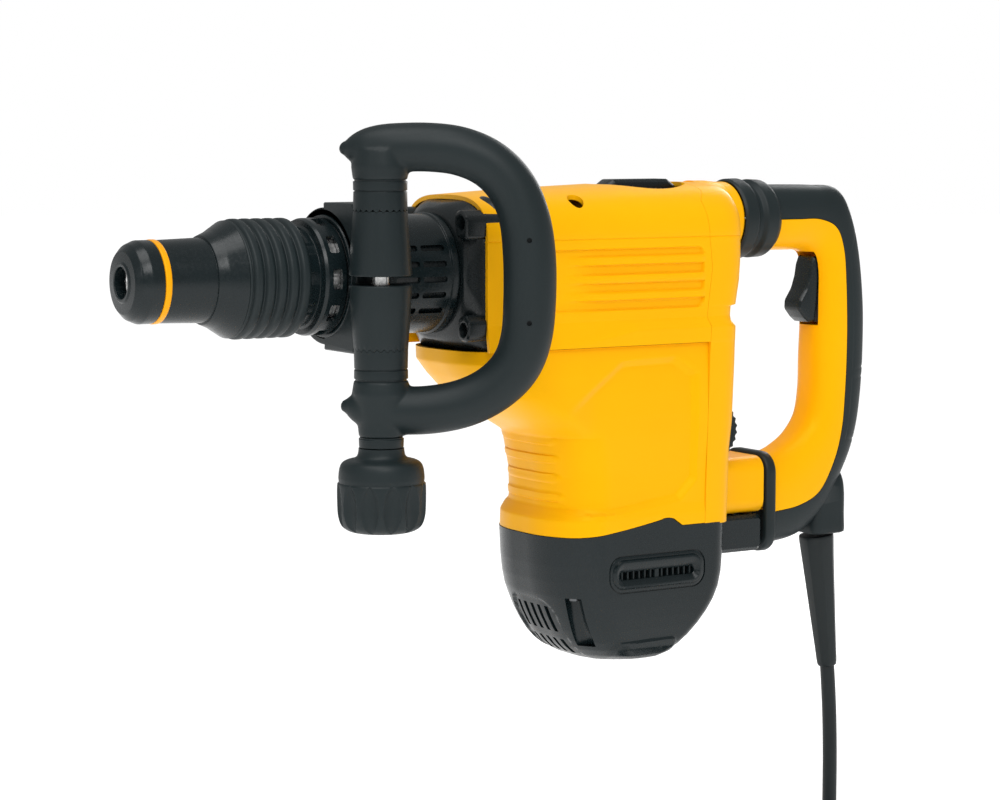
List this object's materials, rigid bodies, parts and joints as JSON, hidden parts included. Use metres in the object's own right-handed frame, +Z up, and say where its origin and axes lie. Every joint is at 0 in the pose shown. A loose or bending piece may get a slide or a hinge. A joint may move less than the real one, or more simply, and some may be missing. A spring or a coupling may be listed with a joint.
{
  "type": "demolition hammer",
  "caption": "Electric demolition hammer with a chisel socket and locking sleeve, a clamped loop side handle with knob, a motor standing below the barrel and a sprung D-shaped rear handle.",
  "frame": {"origin": "middle of the main rear grip, where the operator holds the hammer", "axes": "+X along the tool axis from the nose towards the rear handle, +Z up with the tool level, +Y towards the tool's right side"},
  "size_m": [0.5176, 0.1704, 0.5186],
  "materials": {
    "yellow": "satin",
    "black_plastic": "satin",
    "casting": "satin",
    "rubber": "matte",
    "steel": "satin",
    "iron": "matte",
    "copper": "satin",
    "carbon": "matte",
    "board": "matte"
  },
  "bodies": {
    "handle": {"handle_shell_left": "yellow", "handle_shell_right": "yellow", "handle_overmould": "rubber", "switch_module": "carbon", "pivot_pin": "steel", "cord_sleeve": "rubber", "cord": "rubber", "cord_coil": "rubber", "mains_plug": "rubber"},
    "housing": {"upper_housing": "yellow", "motor_housing": "yellow", "rear_cover": "yellow", "bottom_cap": "black_plastic", "cap_screw_left": "steel", "cap_screw_right": "steel", "gear_case": "casting", "case_screw_1": "steel", "case_screw_2": "steel", "case_screw_3": "steel", "case_screw_4": "steel", "bearing_plate": "casting", "barrel_cover": "black_plastic", "cylinder": "steel", "stator": "iron", "brush_left": "carbon", "brush_right": "carbon", "upper_bearing": "steel", "lower_bearing": "steel", "crank_bearing": "steel", "electronics_module": "board", "bellows": "rubber", "damper_spring": "steel", "pivot_band": "rubber"},
    "trigger": {"trigger": "black_plastic"},
    "dial": {"speed_dial": "black_plastic"},
    "selector": {"mode_selector": "black_plastic"},
    "spindle": {"tool_holder": "steel", "locking_bar_left": "steel", "locking_bar_right": "steel", "dust_cap": "rubber", "nose_ring": "yellow", "index_collar": "black_plastic", "index_ring": "steel", "sleeve_spring": "steel"},
    "sleeve": {"locking_sleeve": "black_plastic", "sleeve_grip": "rubber"},
    "beater": {"beat_piece": "steel"},
    "ram": {"ram": "steel"},
    "piston": {"piston": "steel"},
    "rod": {"connecting_rod": "iron"},
    "crank": {"crank_gear": "steel"},
    "armature": {"armature_shaft": "steel", "rotor_core": "iron", "commutator": "copper", "cooling_fan": "black_plastic"},
    "clamp": {"clamp_upper": "black_plastic", "clamp_lower": "black_plastic", "clamp_bolt": "steel"},
    "side_handle": {"loop_grip": "rubber"},
    "knob": {"side_knob": "rubber"}
  },
  "joints": [
    {"name": "handle_damping", "type": "hinge", "parent": "handle", "child": "housing", "pos_m": [-0.0625, 0, -0.108], "axis": [0, 1, 0], "range_deg": [0, 2], "stiffness_Nm_per_rad": 350, "springref_deg": -1.72, "deforming": ["bellows", "damper_spring"]},
    {"name": "trigger_press", "type": "hinge", "parent": "handle", "child": "trigger", "pos_m": [-0.0135, 0, 0.0425], "axis": [0, -1, 0], "range_deg": [0, 7], "stiffness_Nm_per_rad": 1.2, "springref_deg": -6.88},
    {"name": "dial_turn", "type": "hinge", "parent": "housing", "child": "dial", "pos_m": [-0.1184, -0.034, -0.0595], "axis": [0, 1, 0], "range_deg": [0, 270]},
    {"name": "selector_turn", "type": "hinge", "parent": "housing", "child": "selector", "pos_m": [-0.153, 0, 0.088], "axis": [0, 0, 1], "range_deg": [0, 90]},
    {"name": "chisel_index", "type": "hinge", "parent": "housing", "child": "spindle", "pos_m": [-0.431, 0, 0.042], "axis": [1, 0, 0], "continuous": true},
    {"name": "sleeve_pull", "type": "slide", "parent": "spindle", "child": "sleeve", "axis": [1, 0, 0], "range_m": [0, 0.008], "stiffness_N_per_m": 2000, "springref_m": -0.01, "deforming": ["sleeve_spring"]},
    {"name": "beat_piece_stroke", "type": "slide", "parent": "spindle", "child": "beater", "axis": [1, 0, 0], "range_m": [0, 0.008]},
    {"name": "ram_stroke", "type": "slide", "parent": "housing", "child": "ram", "axis": [1, 0, 0], "range_m": [0, 0.012]},
    {"name": "piston_stroke", "type": "slide", "parent": "housing", "child": "piston", "axis": [1, 0, 0], "range_m": [0, 0.026]},
    {"name": "rod_swing", "type": "hinge", "parent": "piston", "child": "rod", "pos_m": [-0.303, 0, 0.042], "axis": [0, 0, 1], "range_deg": [-11.9, 11.9]},
    {"name": "armature_spin", "type": "hinge", "parent": "housing", "child": "armature", "pos_m": [-0.181, 0, -0.076], "axis": [0, 0, 1], "continuous": true},
    {"name": "crank_spin", "type": "hinge", "parent": "housing", "child": "crank", "pos_m": [-0.227, 0, 0.016], "axis": [0, 0, 1], "continuous": true},
    {"name": "clamp_turn", "type": "hinge", "parent": "housing", "child": "clamp", "pos_m": [-0.36, 0, 0.042], "axis": [1, 0, 0], "continuous": true},
    {"name": "side_handle_swing", "type": "hinge", "parent": "clamp", "child": "side_handle", "pos_m": [-0.3626, -0.052, 0.042], "axis": [0, 0, -1], "range_deg": [0, 105]},
    {"name": "knob_turn", "type": "hinge", "parent": "clamp", "child": "knob", "pos_m": [-0.3626, -0.052, -0.078], "axis": [0, 0, 1], "continuous": true}
  ],
  "couplings": [
    {"joint": "crank_spin", "follows": "armature_spin", "ratio": -0.17949}
  ]
}
